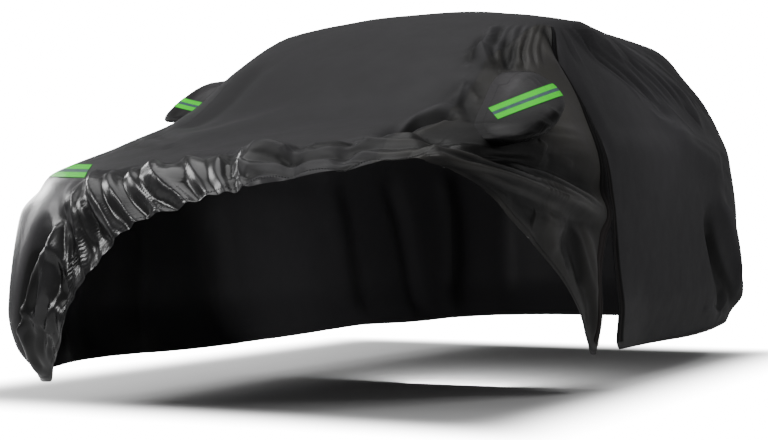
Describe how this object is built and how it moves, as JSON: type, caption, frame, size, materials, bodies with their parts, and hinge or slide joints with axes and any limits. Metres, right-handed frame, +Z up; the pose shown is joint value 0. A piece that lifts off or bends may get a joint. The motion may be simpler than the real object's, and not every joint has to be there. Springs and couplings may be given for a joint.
{
  "type": "fitted car cover",
  "caption": "Fitted car cover of dark woven cloth with mirror pockets, reflective strips and a door zip that is undone, its front pulled up.",
  "frame": {"origin": "the place under the roof cloth that rests on the car's roof, in the middle of the cover's width and midway between the axles", "axes": "+Z up, +Y towards the tail, +X towards the cover's left side; the front end points to -Y"},
  "size_m": [2.0403, 4.4169, 1.5386],
  "materials": {
    "cloth": "matte to satin woven polyester",
    "pocket_cloth": "satin woven polyester",
    "zip_tape": "matte woven tape",
    "reflective_strip": "bright reflective tape"
  },
  "bodies": {
    "root": {"top_panel": "cloth", "right_side_panel": "cloth", "left_front_panel": "cloth", "left_rear_panel": "cloth", "mirror_pocket_left": "pocket_cloth", "mirror_pocket_right": "pocket_cloth", "zip_tape_front": "zip_tape", "zip_tape_rear": "zip_tape", "strip_mirror_left": "reflective_strip", "strip_mirror_right": "reflective_strip", "strip_front_right": "reflective_strip"}
  },
  "joints": []
}
